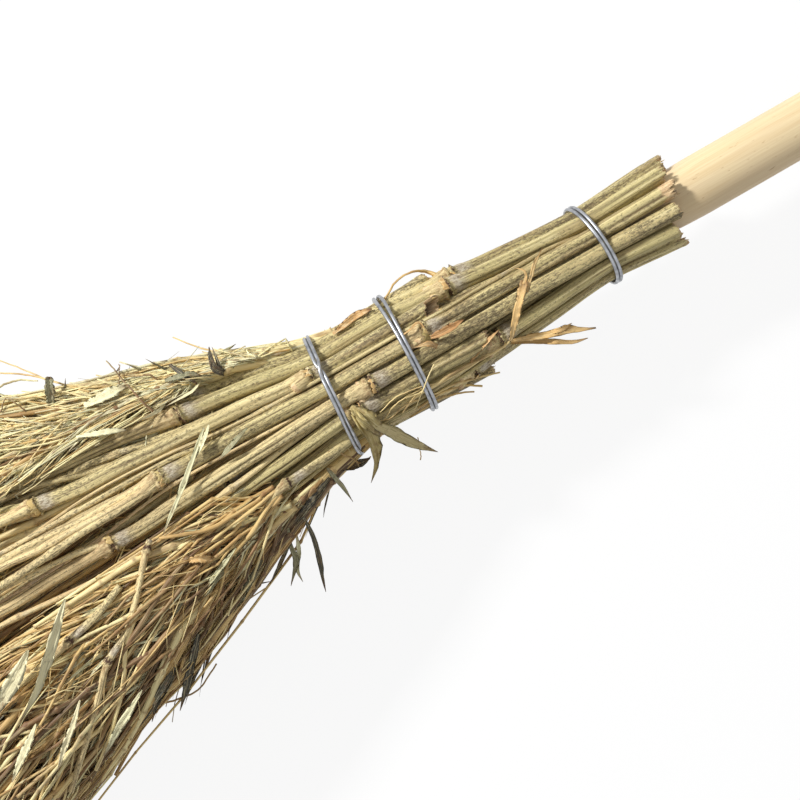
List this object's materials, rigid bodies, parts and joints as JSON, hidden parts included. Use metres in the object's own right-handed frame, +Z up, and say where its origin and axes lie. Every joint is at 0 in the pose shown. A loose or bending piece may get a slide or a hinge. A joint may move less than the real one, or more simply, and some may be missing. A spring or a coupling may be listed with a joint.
{
  "type": "outdoor broom",
  "caption": "Yard broom: bamboo canes and twigs bound with wire round the tapered point of a plain round wooden handle, spreading into a wide flat brush.",
  "frame": {"origin": "on the floor that the broom lies on, under the middle of its box", "axes": "+X towards the handle's end, +Z up, +Y across the brush; the broom's own axis dips by 2.0 degrees towards the handle's end, because it lies on its lowest twigs and on that end"},
  "size_m": [1.6438, 0.384, 0.1202],
  "materials": {
    "handle_wood": "smooth sanded pale wood, unvarnished, with fine grain along the pole",
    "cane_bamboo": "dry bamboo branch, olive tan with grey-brown mottling, orange-brown scars and a pale bloom at the nodes",
    "twig_bamboo": "fine dry bamboo twigs, golden to orange-brown, with pale dry leaves",
    "binding_wire": "galvanised steel wire, slightly dull, with bright lines along it"
  },
  "bodies": {
    "handle": {"handle": "handle_wood"},
    "head": {"long_cane_01": "cane_bamboo", "long_cane_02": "cane_bamboo", "long_cane_03": "cane_bamboo", "long_cane_04": "cane_bamboo", "long_cane_05": "cane_bamboo", "long_cane_06": "cane_bamboo", "long_cane_07": "cane_bamboo", "long_cane_08": "cane_bamboo", "long_cane_09": "cane_bamboo", "long_cane_10": "cane_bamboo", "long_cane_11": "cane_bamboo", "long_cane_12": "cane_bamboo", "short_cane_01": "cane_bamboo", "short_cane_02": "cane_bamboo", "short_cane_03": "cane_bamboo", "short_cane_04": "cane_bamboo", "short_cane_05": "cane_bamboo", "short_cane_06": "cane_bamboo", "inner_cane_01": "cane_bamboo", "inner_cane_02": "cane_bamboo", "inner_cane_03": "cane_bamboo", "inner_cane_04": "cane_bamboo", "inner_cane_05": "cane_bamboo", "inner_cane_06": "cane_bamboo", "inner_cane_07": "cane_bamboo", "inner_cane_08": "cane_bamboo", "top_wire": "binding_wire", "middle_wire": "binding_wire", "lower_wire": "binding_wire", "upper_left_twigs": "twig_bamboo", "upper_right_twigs": "twig_bamboo", "lower_right_twigs": "twig_bamboo", "lower_left_twigs": "twig_bamboo"}
  },
  "joints": [
    {"name": "head_push_fit", "type": "slide", "parent": "handle", "child": "head", "axis": [-0.9994, 0, 0.0354], "range_m": [0, 0.209]}
  ]
}
